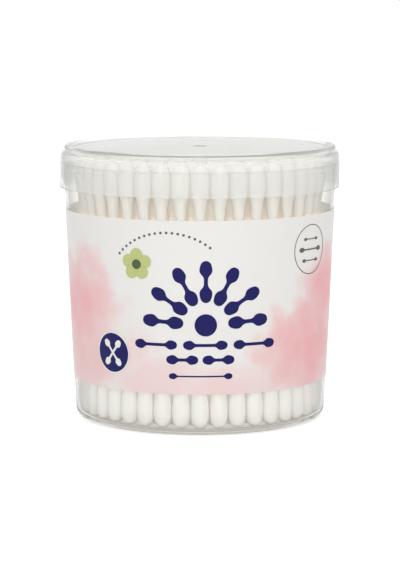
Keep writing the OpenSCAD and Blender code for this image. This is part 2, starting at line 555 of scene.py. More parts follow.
TUB_PLASTIC = ClearMoulding("tub_plastic_clear")
LID_PLASTIC = ClearMoulding(
    "lid_plastic_clear",
    colour=(0.95, 0.955, 0.94),
    edge_shade_colour=(0.62, 0.62, 0.605),
    edge_from=0.5,
    clear=0.77,
    roughness=0.04,
)


@dataclass(frozen=True)
class Cotton:
    """Bleached cotton, wound tight, with a warm painted shade on the swabs deep inside the bundle and a faint
    painted glow.
    """

    name: str = "wound_cotton"
    colour: Colour = (0.825, 0.812, 0.78)
    hollow_shade: float = 0.965
    hollow_tones: Point = (0.35, 0.65)
    # Painted shade: a warm darker tint, and a glow of the same colour, on the cotton deep inside the bundle.
    painted_deep_tint: Colour = (0.745, 0.665, 0.575)
    deep_within: Point = (30.5 * MM, 28.5 * MM)
    deep_above: Point = (-4 * MM, 9 * MM)
    deep_below: Point = (72.5 * MM, 66 * MM)
    # Painted light: the cotton glows faintly all over, brighter on the tips near the foot of the tub.
    soft_glow: Colour = (0.26, 0.205, 0.15)
    foot_glow: Colour = (0.45, 0.42, 0.38)
    foot_below: Point = (17 * MM, 14 * MM)
    glow: float = 0.2
    strands_round: float = 10
    strands_along: float = 5500
    slant: float = 3
    fibre_depth: float = 0.08 * MM

    def material(self, fibre: WoundFibre) -> Material:
        """Makes the material.

        Args:
            fibre: The group that winds the fibres.

        Returns:
            The finished material, with a faint painted glow that stands in for the light that cotton lets
            through.
        """
        s = Surface(self.name)
        wound = fibre.use(
            s, round_scale=self.strands_round, along_scale=self.strands_along, slant=self.slant
        )
        x, y, z = s.split(s.place())
        # Painted warm shade and glow deep inside the bundle, away from the outer ring and the ends.
        between = s.times(s.ramp(z, *self.deep_above), s.ramp(z, *self.deep_below))
        deep = s.times(s.ramp(s.hypot(x, y), *self.deep_within), between)
        hollows = shade(self.colour, self.hollow_shade)
        clean = s.mix(s.ramp(wound["tone"], *self.hollow_tones), hollows, self.colour)
        # Painted glow, brighter on the tips near the foot of the tub.
        outer_glow = s.mix(s.ramp(z, *self.foot_below), self.soft_glow, self.foot_glow)
        return s.finish({
            "Base Color": s.mix(deep, clean, self.painted_deep_tint),
            "Emission Color": s.mix(deep, outer_glow, self.painted_deep_tint),
            "Emission Strength": self.glow,
            "Roughness": s.vary(wound["tone"], 0.9, 1),
            "Specular IOR Level": 0.15,
            "Sheen Weight": 0.12,
            "Sheen Roughness": 0.6,
            "Normal": s.bump(0.6, self.fibre_depth, wound["height"]),
        })


@dataclass(frozen=True)
class RolledPaper:
    """Tightly rolled paper with a faint grain along the stick, a warm colour that also stands in for the warm
    shade between the sticks, and a painted glow.
    """

    name: str = "rolled_paper"
    # Warm paper colour that also stands in for the warm shade between the sticks.
    colour: Colour = (0.84, 0.76, 0.66)
    grain_shade: float = 0.93
    grain_scale: float = 3000
    grain_stretch: Place = (1, 1, 0.12)
    grain_depth: float = 0.03 * MM
    # Painted light: the sticks glow faintly in their own colour.
    glow: float = 0.2

    def material(self) -> Material:
        """Makes the material.

        Returns:
            The finished material, from stretched noise on the piece's own place, with a painted glow of its own
            colour.
        """
        s = Surface(self.name)
        stretch = {"Vector": s.place(), "Scale": self.grain_stretch}
        grain = s.noise(s.fill(s.add("ShaderNodeMapping"), stretch)[0], self.grain_scale, 4)
        return s.finish({
            "Base Color": s.mix(grain, shade(self.colour, self.grain_shade), self.colour),
            "Emission Color": self.colour,
            "Emission Strength": self.glow,
            "Roughness": s.vary(grain, 0.75, 0.9),
            "Normal": s.bump(0.3, self.grain_depth, grain),
        })


@dataclass(frozen=True)
class Wash:
    """One pool of the soft wash on the label."""

    angle: float
    height: float
    half_width: float
    half_height: float
    strength: float


class WashPool(Group):
    """A pool of thin paint with a torn, feathered edge, round a place on the label.

    A distance of 1 is the pool's nominal edge. Its inputs are the fields of a Wash.
    """

    COARSE_SCALE = 60
    COARSE_TEAR = 1.3
    FINE_SCALE = 260
    FINE_TEAR = 0.28
    EDGE: Point = (1.12, 0.72)
    DEEPENS: Point = (1.0, 0.2)
    PALEST = 0.5

    def __init__(self) -> None:
        """Builds the mask from the distance to the pool's middle, torn by two noises."""
        super().__init__("wash_pool", tuple(field.name for field in fields(Wash)), ("mask",))
        given = self.given
        place = self.place()
        x, y, z = self.split(place)
        angle = self.maths("ARCTAN2", x, self.times(y, -1))
        off_middle = self.maths("SUBTRACT", angle, self.maths("RADIANS", given["angle"]))
        run = self.times(off_middle, self.hypot(x, y))
        across = self.maths("DIVIDE", run, given["half_width"])
        up = self.maths("DIVIDE", self.maths("SUBTRACT", z, given["height"]), given["half_height"])
        coarse = self.maths("SUBTRACT", self.noise(place, self.COARSE_SCALE, 3, 0.6), 0.5)
        fine = self.maths("SUBTRACT", self.noise(place, self.FINE_SCALE, 4, 0.65), 0.5)
        frayed = self.maths("MULTIPLY_ADD", fine, self.FINE_TEAR, self.hypot(across, up))
        torn = self.maths("MULTIPLY_ADD", coarse, self.COARSE_TEAR, frayed)
        depth = self.ramp(torn, *self.DEEPENS, self.PALEST, 1)
        mask = self.times(self.ramp(torn, *self.EDGE), depth)
        self.feed(self.wanted["mask"], self.times(mask, given["strength"]))


@dataclass(frozen=True)
class LabelFilm:
    """Off-white satin film with a soft pink wash printed on it, and a painted glow on its inner face."""

    name: str = "label_film"
    colour: Colour = (0.835, 0.825, 0.795)
    pink: Colour = (0.87, 0.43, 0.45)
    blotch_scale: float = 90
    blotches: Point = (0.86, 1.1)
    grain_scale: float = 1800
    grain_depth: float = 0.01 * MM
    painted_inner_glow: float = 0.33
    pools: tuple[Wash, ...] = (
        Wash(-68, 34 * MM, 25 * MM, 18 * MM, 0.87),
        Wash(-58, 21 * MM, 26 * MM, 13 * MM, 0.68),
        Wash(-20, 15 * MM, 25 * MM, 8 * MM, 0.4),
        Wash(14, 13 * MM, 24 * MM, 8 * MM, 0.42),
        Wash(57, 23.5 * MM, 22 * MM, 18 * MM, 0.95),
        Wash(73, 37 * MM, 19 * MM, 15 * MM, 0.92),
        Wash(118, 28 * MM, 24 * MM, 15 * MM, 0.7),
        Wash(-122, 26 * MM, 26 * MM, 15 * MM, 0.7),
    )

    def material(self, pool: WashPool) -> Material:
        """Makes the material.

        Args:
            pool: The group that masks one pool of the wash.

        Returns:
            The finished material, whose inner face has a painted glow that stands in for the light that the
            film lets through.
        """
        s = Surface(self.name)
        masks = [pool.use(s, **asdict(wash))["mask"] for wash in self.pools]
        washed = masks[0]
        for mask in masks[1:]:
            washed = s.maths("MAXIMUM", washed, mask)
        blotch = s.vary(s.noise(s.place(), self.blotch_scale, 4, 0.6), *self.blotches)
        tinted = s.maths("MULTIPLY", washed, blotch, clamp=True)
        grain = s.noise(s.place(), self.grain_scale, 3)
        # Painted light: the film's inner face glows in the film's own colour.
        outwards = s.add("ShaderNodeVectorMath", operation="DOT_PRODUCT")
        s.feed(outwards.inputs[0], s.add("ShaderNodeNewGeometry").outputs["Normal"])
        s.feed(outwards.inputs[1], s.place())
        inner_face = s.maths("LESS_THAN", outwards.outputs["Value"], 0)
        return s.finish({
            "Base Color": s.mix(tinted, self.colour, self.pink),
            "Emission Color": s.mix(inner_face, BLACK, self.colour),
            "Emission Strength": self.painted_inner_glow,
            "Roughness": s.vary(grain, 0.42, 0.5),
            "Specular IOR Level": 0.3,
            "Normal": s.bump(0.1, self.grain_depth, grain),
        })


class Ink(Enum):
    """Printing inks, by the colour that each leaves on the film."""

    NAVY = (0.013, 0.011, 0.112)
    WHITE = (0.86, 0.855, 0.83)
    GREY = (0.13, 0.13, 0.12)
    PALE_GREEN = (0.55, 0.6, 0.25)
    DEEP_GREEN = (0.1, 0.13, 0.06)

    def material(self) -> Material:
        """Makes the ink's material.

        Returns:
            The finished material, with the slight mottle that printed ink has.
        """
        mottle_scale = 2500
        mottle_shade = 0.92
        s = Surface("ink_" + self.name.lower())
        mottle = s.noise(s.place(), mottle_scale, 3)
        return s.finish({
            "Base Color": s.mix(mottle, shade(self.value, mottle_shade), self.value),
            "Roughness": s.vary(mottle, 0.4, 0.52),
            "Specular IOR Level": 0.15,
        })


# The tub and its lid


@dataclass(frozen=True)
class Tub:
    """The drafted tub, turned from its half section."""

    rim_radius: float
    height: float
    wall: float = 0.8 * MM
    draft: float = 2.5
    floor: float = 0.8 * MM
    foot_height: float = 0.5 * MM
    foot_width: float = 2.6 * MM
    corner: float = 2.8 * MM
    bead: float = 0.1 * MM
    bead_height: float = 1.05 * MM
    rim_round: float = 0.3 * MM
    gate_radius: float = 1.5 * MM
    gate_depth: float = 0.25 * MM
    wall_rings: tuple[float, ...] = (10 * MM, 25 * MM, 45 * MM, 60 * MM)
    steps: int = 240
    crease: float = 35

    @classmethod
    def from_frame(cls) -> Tub:
        """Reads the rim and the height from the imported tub."""
        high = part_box("tub")[1]
        return cls(rim_radius=high.x, height=high.z)

    @property
    def bead_foot(self) -> float:
        """Height where the bead round the rim starts."""
        return self.height - self.bead_height

    def wall_radius(self, height: float) -> float:
        """Radius of the outside of the wall at a height."""
        return self.rim_radius - self.bead - (self.height - height) * math.tan(math.radians(self.draft))

    def outline(self) -> list[Point]:
        """Draws the half section.

        Returns:
            Its points, from the middle of the underside out, up the wall and down inside.
        """
        slope = math.cos(math.radians(self.draft))
        inner_corner = self.corner - self.wall
        floor_top = self.foot_height + self.floor
        corner_x = self.wall_radius(self.corner) - self.corner / slope
        inner_z = floor_top + inner_corner
        inner_x = self.wall_radius(inner_z) - self.wall - inner_corner / slope
        foot_x = corner_x - self.foot_width
        gate_z = self.foot_height - self.gate_depth
        top = self.height - self.rim_round
        inside = self.rim_radius - self.bead - self.wall
        return [
            (0, gate_z),
            (self.gate_radius, gate_z),
            (self.gate_radius, self.foot_height),
            (foot_x - self.foot_height, self.foot_height),
            (foot_x, 0),
            *arc((corner_x, self.corner), self.corner, -90, -self.draft, 10),
            *((self.wall_radius(z), z) for z in self.wall_rings),
            (self.wall_radius(self.bead_foot - self.bead), self.bead_foot - self.bead),
            (self.rim_radius, self.bead_foot),
            *arc((self.rim_radius - self.rim_round, top), self.rim_round, 0, 90, 5),
            *arc((inside + self.rim_round, top), self.rim_round, 90, 180, 5),
            *((self.wall_radius(z) - self.wall, z) for z in reversed(self.wall_rings)),
            *arc((inner_x, inner_z), inner_corner, -self.draft, -90, 8),
            (0, floor_top),
        ]

    def build(self, material: Material) -> None:
        """Turns the tub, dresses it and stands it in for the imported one.

        Args:
            material: What the tub is made of.
        """
        piece = turn("clear_tub", self.outline(), self.steps, self.crease)
        dress(piece, material)
        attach(piece, "tub")
        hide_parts("tub")
        report(piece)


@dataclass(frozen=True)
class Lid:
    """The push-on lid: recessed panel, stacking rim, rounded shoulder, skirt and lift lip."""

    radius: float
    foot: float
    top: float
    lip_reach: float
    tub: Tub
    panel_recess: float = 0.6 * MM
    thickness: float = 0.8 * MM
    rim_width: float = 2.3 * MM
    rim_round: float = 0.7 * MM
    rim_height: float = 1.65 * MM
    shoulder_width: float = 1.2 * MM
    shoulder_height: float = 2.85 * MM
    shoulder_steps: int = 10
    skirt_wall: float = 0.75 * MM
    edge: float = 0.15 * MM
    snap: float = 0.1 * MM
    seat_width: float = 0.9 * MM
    rib: float = 0.4 * MM
    lip_half_angle: float = 39
    lip_rings: int = 4
    dimple_radius: float = 2 * MM
    dimple_depth: float = 0.22 * MM
    mark_radius: float = 0.65 * MM
    steps: int = 240
    crease: float = 35

    @classmethod
    def from_frame(cls, tub: Tub) -> Lid:
        """Reads the radius, foot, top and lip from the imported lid, which sits on the tub."""
        low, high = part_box("lid")
        return cls(radius=high.x, foot=low.z, top=high.z, lip_reach=-low.x - high.x, tub=tub)

    @property
    def lip_span(self) -> float:
        """Height over which the lip flares, from just above the foot to the foot of the tub's bead."""
        return self.tub.bead_foot - self.foot - 2 * self.edge

    def shoulder(self, inside: float, width: float, height: float) -> list[Point]:
        """Quarter of an ellipse that the shoulder follows, outside or inside.

        Args:
            inside: Radius at the top of the shoulder.
            width: How far the shoulder draws in.
            height: How high the shoulder is.

        Returns:
            The points of the quarter ellipse, from its foot up.
        """
        foot = self.top - self.rim_height - self.shoulder_height
        unit = arc((0, 0), 1, 0, 90, self.shoulder_steps)
        return [(inside + width * x, foot + height * z) for x, z in unit]

    def outline(self) -> list[Point]:
        """Draws the half section.

        Returns:
            Its points, up the outside to the panel, then down the inside to the foot.
        """
        rim_outer = self.radius - self.shoulder_width
        rim_inner = rim_outer - self.rim_width
        inner_round = min(self.rim_round, self.panel_recess) / 2
        panel = self.top - self.panel_recess
        dimple = panel - self.dimple_depth
        under = panel - self.thickness
        inner_rim = rim_outer - self.thickness
        inner_wall = self.radius - self.thickness
        inner_top = self.top - self.thickness
        skirt_inner = self.radius - self.skirt_wall
        seat = self.tub.rim_radius - self.seat_width
        rib_top = self.tub.height + self.rib
        snap_z = self.tub.bead_foot - self.edge - 2 * self.snap
        lip_foot = self.foot + 2 * self.edge
        lip_heights = [lip_foot + self.lip_span * i / self.lip_rings for i in range(self.lip_rings + 1)]
        inner_height = self.shoulder_height - self.thickness
        inner_shoulder = self.shoulder(inner_rim, inner_wall - inner_rim, inner_height)
        return [
            (skirt_inner + self.edge, self.foot),
            *arc((self.radius - self.edge, self.foot + self.edge), self.edge, -90, 0, 3),
            *((self.radius, z) for z in lip_heights),
            *self.shoulder(rim_outer, self.shoulder_width, self.shoulder_height),
            *arc((rim_outer - self.rim_round, self.top - self.rim_round), self.rim_round, 0, 90, 6),
            *arc((rim_inner + inner_round, self.top - inner_round), inner_round, 90, 180, 4),
            (rim_inner, panel + self.edge / 2),
            (rim_inner - self.edge / 2, panel),
            (self.dimple_radius, panel),
            (self.dimple_radius - self.edge, dimple),
            (self.mark_radius + self.edge, dimple),
            (self.mark_radius, panel),
            (0, panel),
            (0, under),
            (rim_inner, under),
            (rim_inner + self.thickness, inner_top),
            (inner_rim, inner_top),
            *reversed(inner_shoulder),
            (inner_wall, rib_top + self.edge),
            (inner_wall - self.edge, rib_top),
            (seat, rib_top),
            (seat, self.tub.height),
            (skirt_inner, self.tub.height),
            (skirt_inner, snap_z + self.snap),
            (skirt_inner - self.snap, snap_z),
            (skirt_inner, snap_z - 2 * self.snap),
            (skirt_inner, self.foot + self.edge),
            (skirt_inner + self.edge, self.foot),
        ]

    def flare_lip(self, piece: Piece) -> None:
        """Extrudes the skirt outwards on the left, most at its foot, to make the lip that a thumb lifts.

        Args:
            piece: The turned lid, which is the active piece.
        """
        lip_top = self.tub.bead_foot
        bpy.ops.object.mode_set(mode="EDIT")
        bpy.ops.mesh.select_all(action="DESELECT")
        bpy.ops.mesh.select_mode(type="FACE")
        mesh = bmesh.from_edit_mesh(piece.data)
        for face in mesh.faces:
            middle = face.calc_center_median()
            off_left = abs(math.degrees(math.atan2(middle.y, -middle.x)))
            outside = math.hypot(middle.x, middle.y) > self.radius - self.edge / 4
            face.select_set(outside and middle.z < lip_top and off_left < self.lip_half_angle)
        bmesh.update_edit_mesh(piece.data)
        extrude()
        mesh = bmesh.from_edit_mesh(piece.data)
        for vertex in {v for face in mesh.faces if face.select for v in face.verts}:
            share = min(1, max(0, (lip_top - vertex.co.z) / self.lip_span))
            vertex.co.xy *= 1 + share * self.lip_reach / self.radius
        bmesh.update_edit_mesh(piece.data)
        bpy.ops.mesh.select_mode(type="VERT")
        close_and_leave(self.crease)

    def build(self, material: Material) -> None:
        """Turns the lid, flares its lip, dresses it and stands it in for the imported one.

        Args:
            material: What the lid is made of.
        """
        piece = turn("clear_lid", self.outline(), self.steps, self.crease)
        self.flare_lip(piece)
        dress(piece, material)
        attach(piece, "lid")
        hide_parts("lid")
        report(piece)


# The swabs


@dataclass(frozen=True)
class TipShape:
    """Outline of a cotton tip: a blunt round end, a bulge, and an S-shaped taper onto the stick."""

    radius: float = 2.45 * MM
    widest: float = 4.6 * MM
    length: float = 15.5 * MM
    tail_radius: float = 1.42 * MM
    cap_steps: int = 7
    side_steps: int = 8
    bluntness: float = 0.85
    cap_angle: float = 80

    def reach(self, z: float) -> float:
        """Radius of the tip at a height, from the four true arcs of its side.

        Args:
            z: Distance from the tip's end.

        Returns:
            The radius there.
        """
        cap = self.bluntness * self.radius
        side = (self.radius**2 + (self.widest - cap) ** 2 - cap**2) / (self.radius - cap) / 2
        cap_top = cap - cap * (self.widest - cap) / (side - cap)
        middle = (self.widest + self.length) / 2
        drop = self.radius - self.tail_radius
        taper = (drop**2 + (self.length - self.widest) ** 2) / drop / 4
        if z <= cap_top:
            return math.sqrt(max(0, cap**2 - (cap - z) ** 2))
        if z <= self.widest:
            return self.radius - side + math.sqrt(side**2 - (self.widest - z) ** 2)
        if z <= middle:
            return self.radius - taper + math.sqrt(taper**2 - (z - self.widest) ** 2)
        return self.tail_radius + taper - math.sqrt(taper**2 - (self.length - z) ** 2)

    def outline(self) -> list[Point]:
        """Draws the half section.

        Returns:
            Its points, from the tip's end to its tail, closed on the axis at both ends.
        """
        cap = self.bluntness * self.radius
        angles = [math.radians(self.cap_angle * i / self.cap_steps) for i in range(self.cap_steps + 1)]
        round_end = [cap * (1 - math.cos(a)) for a in angles]
        last = round_end[-1]
        side = [last + (self.length - last) * i / self.side_steps for i in range(1, self.side_steps + 1)]
        return [*((self.reach(z), z) for z in round_end + side), (0, self.length)]


@dataclass(frozen=True)
class Swabs:
    """Every swab of the tub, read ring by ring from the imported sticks.

    The outer ring, which shows, gets finely modelled tips, and the rings inside it plainer ones.
    """

    fine_shape: TipShape = TipShape(radius=2.56 * MM, cap_steps=5, side_steps=12)
    fine_around: int = 20
    fine_kinds: int = 5
    plain_shape: TipShape = TipShape(cap_steps=3, side_steps=5)
    plain_around: int = 10
    plain_kinds: int = 3
    plain_seed: int = 20
    seed: int = 7
    size_spread: float = 0.018
    oval_spread: float = 0.008
    lump: float = 0.05 * MM
    lump_smoothing: float = 0.35
    crease: float = 60

    def axes(self, node: Piece) -> list[tuple[Vector, Vector]]:
        """Finds every stick in a ring as an island of joined points.

        Args:
            node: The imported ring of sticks.

        Returns:
            The lower and upper end of every stick, in order round the ring.
        """
        mesh = bmesh.new()
        mesh.from_mesh(node.data)
        bmesh.ops.remove_doubles(mesh, verts=mesh.verts, dist=MERGE)
        waiting = set(mesh.verts)
        ends = []
        while waiting:
            front = [waiting.pop()]
            island = list(front)
            while front:
                vertex = front.pop()
                beside = [edge.other_vert(vertex) for edge in vertex.link_edges]
                fresh = [v for v in beside if v in waiting]
                waiting.difference_update(fresh)
                front.extend(fresh)
                island.extend(fresh)
            ends.append(self.stick_ends([v.co.copy() for v in island]))
        mesh.free()
        return sorted(ends, key=lambda pair: math.atan2(pair[0].y, pair[0].x))

    def stick_ends(self, points: list[Vector]) -> tuple[Vector, Vector]:
        """Finds the middles of the two ends of one stick.

        Args:
            points: Every point of the stick.

        Returns:
            The middle of its lower end and of its upper end.
        """
        heights = [p.z for p in points]
        middle = (min(heights) + max(heights)) / 2
        ends = []
        for part in ([p for p in points if p.z < middle], [p for p in points if p.z >= middle]):
            spans = [[p[axis] for p in part] for axis in range(3)]
            ends.append(Vector([(min(span) + max(span)) / 2 for span in spans]))
        return ends[0], ends[1]

    def model(self, name: str, shape: TipShape, around: int, seed: int) -> Piece:
        """Models one tip, lightly lumped as wound cotton is.

        Args:
            name: Name of the tip.
            shape: Its outline.
            around: Steps round the tip.
            seed: Seed of its lumps.

        Returns:
            The tip, standing on its end at the origin.
        """
        tip = turn(name, shape.outline(), around, self.crease)
        edit_all()
        bpy.ops.transform.vertex_random(offset=self.lump, normal=1, seed=seed)
        bpy.ops.mesh.vertices_smooth(factor=self.lump_smoothing)
        bpy.ops.object.mode_set(mode="OBJECT")
        self.map_round(tip)
        return tip

    def map_round(self, tip: Piece) -> None:
        """Writes the tip's UV map: the turn round it, and the distance along it in metres.

        Args:
            tip: The tip, standing on its end at the origin.
        """
        layer = tip.data.uv_layers.new(name="round_and_along")
        for face in tip.data.polygons:
            places = [tip.data.vertices[tip.data.loops[i].vertex_index].co for i in face.loop_indices]
            turns = [math.atan2(p.y, p.x) / TAU % 1 for p in places]
            wrap = max(turns) - min(turns) > 0.5
            for i, place, angle in zip(face.loop_indices, places, turns):
                layer.data[i].uv = (angle + 1 if wrap and angle < 0.5 else angle, place.z)

    def ring_of_tips(
        self, name: str, ends: list[tuple[Vector, Vector]], models: list[Piece], chance: random.Random
    ) -> Piece:
        """Copies tips onto the ends of a ring of sticks and joins them.

        Args:
            name: Name of the joined ring.
            ends: For each tip, the place of its end and the point that it looks towards.
            models: The tips to copy from.
            chance: Seeded source of the small differences.

        Returns:
            The joined ring, with its place in its mesh.
        """
        copies = []
        for place, towards in ends:
            model = chance.choice(models)
            aim = (towards - place).to_track_quat("Z", "Y").to_matrix().to_4x4()
            spin = Matrix.Rotation(chance.uniform(0, TAU), 4, "Z")
            girth = 1 + chance.uniform(-self.size_spread, self.size_spread)
            oval = 1 + chance.uniform(-self.oval_spread, self.oval_spread)
            size = Matrix.Diagonal((girth, girth * oval, 1, 1))
            copies.append(copy_to(model, Matrix.Translation(place) @ aim @ spin @ size))
        return join(name, copies)

    def build(self, frame: dict, cotton: Material, paper: Material) -> None:
        """Models the tips, sets them on every stick and dresses the sticks.

        Args:
            frame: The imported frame.
            cotton: Material of the tips.
            paper: Material of the sticks.
        """
        chance = random.Random(self.seed)
        fine = [
            self.model(f"fine_tip_{i}", self.fine_shape, self.fine_around, i) for i in range(self.fine_kinds)
        ]
        plain = [
            self.model(f"plain_tip_{i}", self.plain_shape, self.plain_around, self.plain_seed + i)
            for i in range(self.plain_kinds)
        ]
        rings = sorted(name for name in frame["nodes"] if name.startswith("sticks_ring_"))
        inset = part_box(rings[0])[0].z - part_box("foot_tips_ring_1")[0].z
        for number, ring in enumerate(rings, 1):
            sticks = frame["nodes"][ring]
            models = fine if number == 1 else plain
            pairs = self.axes(sticks)
            foot_ends = [(low - (high - low).normalized() * inset, high) for low, high in pairs]
            top_ends = [(high + (high - low).normalized() * inset, low) for low, high in pairs]
            for kind, ends in (("foot", foot_ends), ("top", top_ends)):
                piece = self.ring_of_tips(f"{kind}_cotton_ring_{number}", ends, models, chance)
                dress(piece, cotton)
                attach(piece, "tub")
                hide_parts(f"{kind}_tips_ring_{number}")
                report(piece)
            dress(sticks, paper)
        for model in fine + plain:
            bpy.data.objects.remove(model)


# The prints on the label


@dataclass(frozen=True)
class Spot:
    """A place on the label, from the middle of its front, with a picture's tilt and size there."""

    across: float
    height: float
    tilt: float = 0
    size: float = 1

    def above(self, rise: float, size: float) -> Spot:
        """A level spot above this one, or below it."""
        return Spot(self.across, self.height + rise, 0, size)


@dataclass(frozen=True)
class Row:
    """A row of printed swabs that lie along the label."""

    height: float
    middles: tuple[float, ...]
    length: float
    tip: TipShape


BOLD_TIP = TipShape(1.75 * MM, 2.6 * MM, 5.2 * MM, 0.55 * MM)
SMALL_TIP = TipShape(1.3 * MM, 1.9 * MM, 3.8 * MM, 0.42 * MM)
THIN_TIP = TipShape(0.85 * MM, 1.3 * MM, 2.8 * MM, 0.2 * MM)
CROSSED_TIP = TipShape(0.95 * MM, 1.4 * MM, 2.6 * MM, 0.32 * MM)
FINE_TIP = TipShape(0.55 * MM, 0.9 * MM, 2 * MM, 0.16 * MM)


@dataclass(frozen=True)
class LabelPrints:
    """Plain printed pictures of swabs, a ring and a flower of cotton puffs, wrapped round the label."""

    tub: Tub
    film: float = 0.14 * MM
    first_lift: float = 0.05 * MM
    second_lift: float = 0.09 * MM
    ink: float = 0.03 * MM
    step: float = 0.8 * MM
    true_height: float = 36 * MM
    repeat: float = 132
    rays: Spot = Spot(1.6 * MM, 31.2 * MM)
    ray_foot: float = 6.2 * MM
    ray_length: float = 11.6 * MM
    ray_angles: tuple[float, ...] = (4, 33, 62, 90, 118, 147, 176)
    ray_middle: float = 3.1 * MM
    rows: tuple[Row, ...] = (
        Row(25.6 * MM, (-12.6 * MM, 1.5 * MM, 15.6 * MM), 12.4 * MM, SMALL_TIP),
        Row(21.5 * MM, (-5 * MM, 5.2 * MM), 9 * MM, SMALL_TIP),
        Row(16.9 * MM, (0.2 * MM,), 18 * MM, THIN_TIP),
    )
    badge: Spot = Spot(-26.7 * MM, 22.2 * MM)
    badge_radius: float = 5.5 * MM
    badge_line: float = 0.35 * MM
    badge_swab: float = 8.8 * MM
    badge_tilts: tuple[float, ...] = (52, 128)
    ring: Spot = Spot(35.2 * MM, 50.4 * MM)
    ring_radius: float = 7 * MM
    ring_line: float = 0.22 * MM
    ring_swab: float = 8 * MM
    ring_rises: tuple[Point, ...] = ((2.9 * MM, 0.8), (0, 1.25), (-3.1 * MM, 0.9))
    ring_corners: int = 72
    dot: float = 0.36 * MM
    dots: int = 19
    dots_middle: Point = (-9 * MM, 37.6 * MM)
    dots_radius: float = 19 * MM
    dots_ends: Point = (138, 52)
    flower: Point = (-17.8 * MM, 47.6 * MM)
    flower_middle: float = 1.35 * MM
    puff: float = 1.9 * MM
    puffs: int = 5
    puffs_radius: float = 2.6 * MM

    def draw(self, name: str, half: list[Point]) -> Piece:
        """Draws a flat shape as a strip of faces between its upper outline and the mirrored one.

        Args:
            name: Name of the shape.
            half: Upper outline, as places along the shape and heights above its middle line.

        Returns:
            The flat shape, standing in the XZ plane.
        """
        piece = draw_line(name, half)
        extrude()
        bpy.ops.transform.resize(value=(1, 1, -1), center_override=(0, 0, 0))
        bpy.ops.mesh.select_all(action="SELECT")
        bpy.ops.mesh.remove_doubles(threshold=MERGE)
        bpy.ops.object.mode_set(mode="OBJECT")
        return piece

    def swab(self, name: str, length: float, tip: TipShape) -> Piece:
        """Draws the picture of a swab that lies along the label.

        Args:
            name: Name of the picture.
            length: Length of the swab.
            tip: Outline of its tips.

        Returns:
            The flat picture.
        """
        left = [(z - length / 2, r) for r, z in tip.outline()[:-1]]
        gap = length - 2 * tip.length
        count = max(1, round(gap / self.step))
        stick = [(tip.length - length / 2 + gap * i / count, tip.tail_radius) for i in range(1, count)]
        return self.draw(name, left + stick + [(-x, z) for x, z in reversed(left)])

    def disc(self, name: str, radius: float) -> Piece:
        """Draws a round spot."""
        count = max(12, round(4 * radius / self.step))
        return self.draw(name, arc((0, 0), radius, 180, 0, count))

    def loop(self, name: str, radius: float, line: float) -> Piece:
        """Draws a ring.

        Args:
            name: Name of the picture.
            radius: Its radius, outside.
            line: Width of its line.

        Returns:
            The flat picture.
        """
        inside = radius - line
        bpy.ops.object.select_all(action="DESELECT")
        bpy.ops.mesh.primitive_circle_add(
            vertices=self.ring_corners, radius=inside, rotation=(math.pi / 2, 0, 0)
        )
        piece = bpy.context.object
        piece.name = name
        bpy.ops.object.transform_apply(location=False, rotation=True, scale=False)
        edit_all()
        extrude()
        grow = radius / inside
        bpy.ops.transform.resize(value=(grow, 1, grow), center_override=(0, 0, 0))
        bpy.ops.object.mode_set(mode="OBJECT")
        return piece

    def stamp(self, picture: Piece, *spots: Spot) -> list[Piece]:
        """Copies a flat picture to places on the label and drops the first.

        Args:
            picture: The flat picture, at the origin.
            *spots: Where the copies go, with their tilt and size.

        Returns:
            The flat copies.
        """
        copies = []
        for spot in spots:
            tilt = Matrix.Rotation(math.radians(-spot.tilt), 4, "Y")
            place = Matrix.Translation((spot.across, 0, spot.height))
            copies.append(copy_to(picture, place @ tilt @ Matrix.Scale(spot.size, 4)))
        bpy.data.objects.remove(picture)
        return copies

    def wrap(self, piece: Piece, lift: float, turned: float) -> None:
        """Wraps a flat piece round the label's outside and gives it the thickness of a layer of ink.

        Args:
            piece: The flat piece, which is the active one.
            lift: How far its face stands off the film.
            turned: Angle round the tub that the piece's middle is carried to.
        """
        girth = self.tub.wall_radius(self.true_height) + self.film
        for vertex in piece.data.vertices:
            angle = vertex.co.x / girth + math.radians(turned)
            radius = self.tub.wall_radius(vertex.co.z) + self.film + lift
            vertex.co = (radius * math.sin(angle), -radius * math.cos(angle), vertex.co.z)
        edit_all()
        bpy.ops.mesh.normals_make_consistent(inside=False)
        mesh = bmesh.from_edit_mesh(piece.data)
        for face in mesh.faces:
            middle = face.calc_center_median()
            if face.normal.x * middle.x + face.normal.y * middle.y < 0:
                face.normal_flip()
        bmesh.update_edit_mesh(piece.data)
        bpy.ops.object.mode_set(mode="OBJECT")
        solid = piece.modifiers.new("ink_layer", "SOLIDIFY")
        solid.thickness = self.ink
        solid.offset = -1
        bpy.ops.object.modifier_apply(modifier=solid.name)

    def front_group(self) -> list[Piece]:
        """Draws the rays of swabs round their disc, and the rows below them.

        Returns:
            The flat pictures, all in navy.
        """
        middle = (self.rays.across, self.rays.height)
        reach = self.ray_foot + self.ray_length / 2
        rays = [Spot(*on_circle(middle, reach, angle), angle) for angle in self.ray_angles]
        pictures = self.stamp(self.swab("ray", self.ray_length, BOLD_TIP), *rays)
        pictures += self.stamp(self.disc("ray_middle", self.ray_middle), self.rays)
        for row in self.rows:
            spots = [Spot(across, row.height) for across in row.middles]
            pictures += self.stamp(self.swab("row_swab", row.length, row.tip), *spots)
        return pictures

